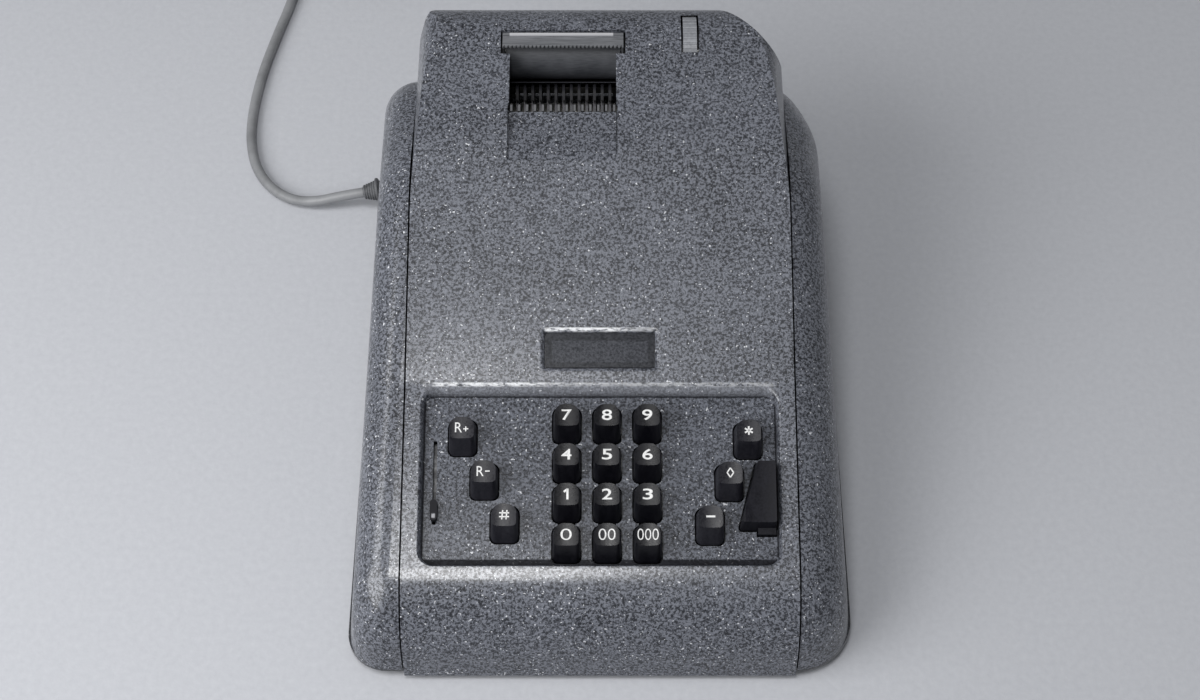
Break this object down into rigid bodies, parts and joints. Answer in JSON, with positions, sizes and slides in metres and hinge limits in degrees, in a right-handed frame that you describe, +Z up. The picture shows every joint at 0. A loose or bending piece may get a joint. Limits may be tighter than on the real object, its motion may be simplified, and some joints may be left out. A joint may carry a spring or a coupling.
{
  "type": "electromechanical calculator",
  "caption": "Desk-top electric printing adding machine with a ten-key keyboard, function keys, reading window, paper tear bar, paper-feed thumbwheel and mains lead.",
  "frame": {"origin": "on the table under the middle of the machine, without its lead", "axes": "+Z up, front edge of the machine towards -Y, +X to the right of someone who uses it"},
  "size_m": [0.3173, 0.5421, 0.1374],
  "materials": {
    "enamel": "mid blue-grey speckled stoving enamel, satin",
    "panel_enamel": "darker grey textured enamel, satin",
    "key_dark": "near-black moulded plastic, half gloss",
    "key_grey": "charcoal moulded plastic, half gloss",
    "lens": "smoked clear plastic window",
    "black_metal": "matt black lacquer",
    "steel": "bright zinc-plated steel",
    "dark_steel": "oiled steel",
    "type_steel": "hardened type steel, ink stained",
    "brass": "turned brass",
    "motor_iron": "dark lacquered casting",
    "pan_enamel": "dark grey baked enamel",
    "platen_rubber": "hard grey-black platen rubber",
    "foot_rubber": "black rubber",
    "wheel_plastic": "light grey moulded plastic, finely grooved",
    "knob_plastic": "black moulded plastic",
    "ribbon_fabric": "inked woven ribbon",
    "paper": "wound white paper, matt",
    "cord_rubber": "light grey flexible sheath",
    "gland_rubber": "dark grey moulded rubber",
    "plug_plastic": "grey moulded plastic, half gloss"
  },
  "bodies": {
    "housing": {"base_pan": "pan_enamel", "feet": "foot_rubber", "screws": "steel", "left_cheek": "enamel", "right_cheek": "enamel", "top_cover": "enamel", "keyboard_panel": "panel_enamel", "key_guide_plate": "dark_steel", "key_springs": "steel", "window_lens": "lens", "indicator_channel": "black_metal", "left_side_frame": "dark_steel", "right_side_frame": "dark_steel", "cross_rods": "steel", "motor_housing": "motor_iron", "motor_saddle": "dark_steel", "platen_frame": "dark_steel", "tear_bar": "steel", "type_guide": "steel", "ribbon": "ribbon_fabric", "cord_gland": "gland_rubber", "cord_run": "cord_rubber", "cord_coil": "cord_rubber", "cord_tie": "gland_rubber", "plug": "plug_plastic"},
    "door": {"paper_door": "enamel"},
    "lever": {"function_lever": "knob_plastic"},
    "carriage": {"pin_carriage": "dark_steel", "carriage_pointer": "black_metal"},
    "sectors": {"type_sectors": "type_steel"},
    "accumulator": {"accumulator_wheels": "brass"},
    "drive_shaft": {"main_shaft": "steel", "main_gear": "brass"},
    "rotor": {"motor_rotor": "steel"},
    "platen": {"platen_roller": "platen_rubber", "platen_shaft": "steel", "thumbwheel": "wheel_plastic"},
    "presser": {"feed_rollers": "dark_steel"},
    "left_spool": {"ribbon_spool_left": "black_metal"},
    "right_spool": {"ribbon_spool_right": "black_metal"},
    "roll": {"paper_roll": "paper"},
    "key_0_body": {"key_0": "key_dark"},
    "key_00_body": {"key_00": "key_dark"},
    "key_000_body": {"key_000": "key_dark"},
    "key_1_body": {"key_1": "key_dark"},
    "key_2_body": {"key_2": "key_dark"},
    "key_3_body": {"key_3": "key_dark"},
    "key_4_body": {"key_4": "key_dark"},
    "key_5_body": {"key_5": "key_dark"},
    "key_6_body": {"key_6": "key_dark"},
    "key_7_body": {"key_7": "key_dark"},
    "key_8_body": {"key_8": "key_dark"},
    "key_9_body": {"key_9": "key_dark"},
    "key_r_plus_body": {"key_r_plus": "key_grey"},
    "key_r_minus_body": {"key_r_minus": "key_grey"},
    "key_hash_body": {"key_hash": "key_grey"},
    "key_star_body": {"key_star": "key_grey"},
    "key_diamond_body": {"key_diamond": "key_grey"},
    "key_minus_body": {"key_minus": "key_grey"},
    "plus_bar_body": {"plus_bar": "key_grey"}
  },
  "joints": [
    {"name": "key_0_press", "type": "slide", "parent": "housing", "child": "key_0_body", "axis": [0, 0.2974, -0.9548], "range_m": [0, 0.005], "stiffness_N_per_m": 300, "springref_m": -0.003, "deforming": ["key_springs"]},
    {"name": "key_00_press", "type": "slide", "parent": "housing", "child": "key_00_body", "axis": [0, 0.2974, -0.9548], "range_m": [0, 0.005], "stiffness_N_per_m": 300, "springref_m": -0.003, "deforming": ["key_springs"]},
    {"name": "key_000_press", "type": "slide", "parent": "housing", "child": "key_000_body", "axis": [0, 0.2974, -0.9548], "range_m": [0, 0.005], "stiffness_N_per_m": 300, "springref_m": -0.003, "deforming": ["key_springs"]},
    {"name": "key_1_press", "type": "slide", "parent": "housing", "child": "key_1_body", "axis": [0, 0.2974, -0.9548], "range_m": [0, 0.005], "stiffness_N_per_m": 300, "springref_m": -0.003, "deforming": ["key_springs"]},
    {"name": "key_2_press", "type": "slide", "parent": "housing", "child": "key_2_body", "axis": [0, 0.2974, -0.9548], "range_m": [0, 0.005], "stiffness_N_per_m": 300, "springref_m": -0.003, "deforming": ["key_springs"]},
    {"name": "key_3_press", "type": "slide", "parent": "housing", "child": "key_3_body", "axis": [0, 0.2974, -0.9548], "range_m": [0, 0.005], "stiffness_N_per_m": 300, "springref_m": -0.003, "deforming": ["key_springs"]},
    {"name": "key_4_press", "type": "slide", "parent": "housing", "child": "key_4_body", "axis": [0, 0.2974, -0.9548], "range_m": [0, 0.005], "stiffness_N_per_m": 300, "springref_m": -0.003, "deforming": ["key_springs"]},
    {"name": "key_5_press", "type": "slide", "parent": "housing", "child": "key_5_body", "axis": [0, 0.2974, -0.9548], "range_m": [0, 0.005], "stiffness_N_per_m": 300, "springref_m": -0.003, "deforming": ["key_springs"]},
    {"name": "key_6_press", "type": "slide", "parent": "housing", "child": "key_6_body", "axis": [0, 0.2974, -0.9548], "range_m": [0, 0.005], "stiffness_N_per_m": 300, "springref_m": -0.003, "deforming": ["key_springs"]},
    {"name": "key_7_press", "type": "slide", "parent": "housing", "child": "key_7_body", "axis": [0, 0.2974, -0.9548], "range_m": [0, 0.005], "stiffness_N_per_m": 300, "springref_m": -0.003, "deforming": ["key_springs"]},
    {"name": "key_8_press", "type": "slide", "parent": "housing", "child": "key_8_body", "axis": [0, 0.2974, -0.9548], "range_m": [0, 0.005], "stiffness_N_per_m": 300, "springref_m": -0.003, "deforming": ["key_springs"]},
    {"name": "key_9_press", "type": "slide", "parent": "housing", "child": "key_9_body", "axis": [0, 0.2974, -0.9548], "range_m": [0, 0.005], "stiffness_N_per_m": 300, "springref_m": -0.003, "deforming": ["key_springs"]},
    {"name": "key_r_plus_press", "type": "slide", "parent": "housing", "child": "key_r_plus_body", "axis": [0, 0.2974, -0.9548], "range_m": [0, 0.005], "stiffness_N_per_m": 300, "springref_m": -0.003, "deforming": ["key_springs"]},
    {"name": "key_r_minus_press", "type": "slide", "parent": "housing", "child": "key_r_minus_body", "axis": [0, 0.2974, -0.9548], "range_m": [0, 0.005], "stiffness_N_per_m": 300, "springref_m": -0.003, "deforming": ["key_springs"]},
    {"name": "key_hash_press", "type": "slide", "parent": "housing", "child": "key_hash_body", "axis": [0, 0.2974, -0.9548], "range_m": [0, 0.005], "stiffness_N_per_m": 300, "springref_m": -0.003, "deforming": ["key_springs"]},
    {"name": "key_star_press", "type": "slide", "parent": "housing", "child": "key_star_body", "axis": [0, 0.2974, -0.9548], "range_m": [0, 0.005], "stiffness_N_per_m": 300, "springref_m": -0.003, "deforming": ["key_springs"]},
    {"name": "key_diamond_press", "type": "slide", "parent": "housing", "child": "key_diamond_body", "axis": [0, 0.2974, -0.9548], "range_m": [0, 0.005], "stiffness_N_per_m": 300, "springref_m": -0.003, "deforming": ["key_springs"]},
    {"name": "key_minus_press", "type": "slide", "parent": "housing", "child": "key_minus_body", "axis": [0, 0.2974, -0.9548], "range_m": [0, 0.005], "stiffness_N_per_m": 300, "springref_m": -0.003, "deforming": ["key_springs"]},
    {"name": "plus_bar_press", "type": "slide", "parent": "housing", "child": "plus_bar_body", "axis": [0, 0.2974, -0.9548], "range_m": [0, 0.005], "stiffness_N_per_m": 300, "springref_m": -0.003, "deforming": ["key_springs"]},
    {"name": "lever_slide", "type": "slide", "parent": "housing", "child": "lever", "axis": [0, 0.9548, 0.2974], "range_m": [0, 0.028]},
    {"name": "carriage_step", "type": "slide", "parent": "housing", "child": "carriage", "axis": [-1, 0, 0], "range_m": [0, 0.0468]},
    {"name": "sector_swing", "type": "hinge", "parent": "housing", "child": "sectors", "pos_m": [0, 0.0883, 0.0755], "axis": [1, 0, 0], "range_deg": [0, 31]},
    {"name": "accumulator_spin", "type": "hinge", "parent": "housing", "child": "accumulator", "pos_m": [0, 0.0479, 0.07], "axis": [1, 0, 0], "continuous": true},
    {"name": "drive_spin", "type": "hinge", "parent": "housing", "child": "drive_shaft", "pos_m": [0, 0.0279, 0.04], "axis": [1, 0, 0], "continuous": true},
    {"name": "rotor_spin", "type": "hinge", "parent": "housing", "child": "rotor", "pos_m": [0, 0.0639, 0.04], "axis": [1, 0, 0], "continuous": true},
    {"name": "platen_spin", "type": "hinge", "parent": "housing", "child": "platen", "pos_m": [0, 0.1309, 0.1195], "axis": [1, 0, 0], "continuous": true},
    {"name": "presser_spin", "type": "hinge", "parent": "housing", "child": "presser", "pos_m": [0, 0.14492, 0.10854], "axis": [1, 0, 0], "continuous": true},
    {"name": "left_spool_spin", "type": "hinge", "parent": "housing", "child": "left_spool", "pos_m": [-0.065, 0.1106, 0.09859], "axis": [0, -0.7193, 0.6947], "continuous": true},
    {"name": "right_spool_spin", "type": "hinge", "parent": "housing", "child": "right_spool", "pos_m": [0.028, 0.1106, 0.09859], "axis": [0, -0.7193, 0.6947], "continuous": true},
    {"name": "roll_spin", "type": "hinge", "parent": "housing", "child": "roll", "pos_m": [0, 0.1239, 0.054], "axis": [1, 0, 0], "continuous": true},
    {"name": "door_hinge", "type": "hinge", "parent": "housing", "child": "door", "pos_m": [0, 0.1557, 0.0274], "axis": [-1, 0, 0], "range_deg": [0, 80]}
  ],
  "couplings": [
    {"joint": "rotor_spin", "follows": "drive_spin", "ratio": -5},
    {"joint": "presser_spin", "follows": "platen_spin", "ratio": -3.375},
    {"joint": "right_spool_spin", "follows": "left_spool_spin", "ratio": 1}
  ]
}
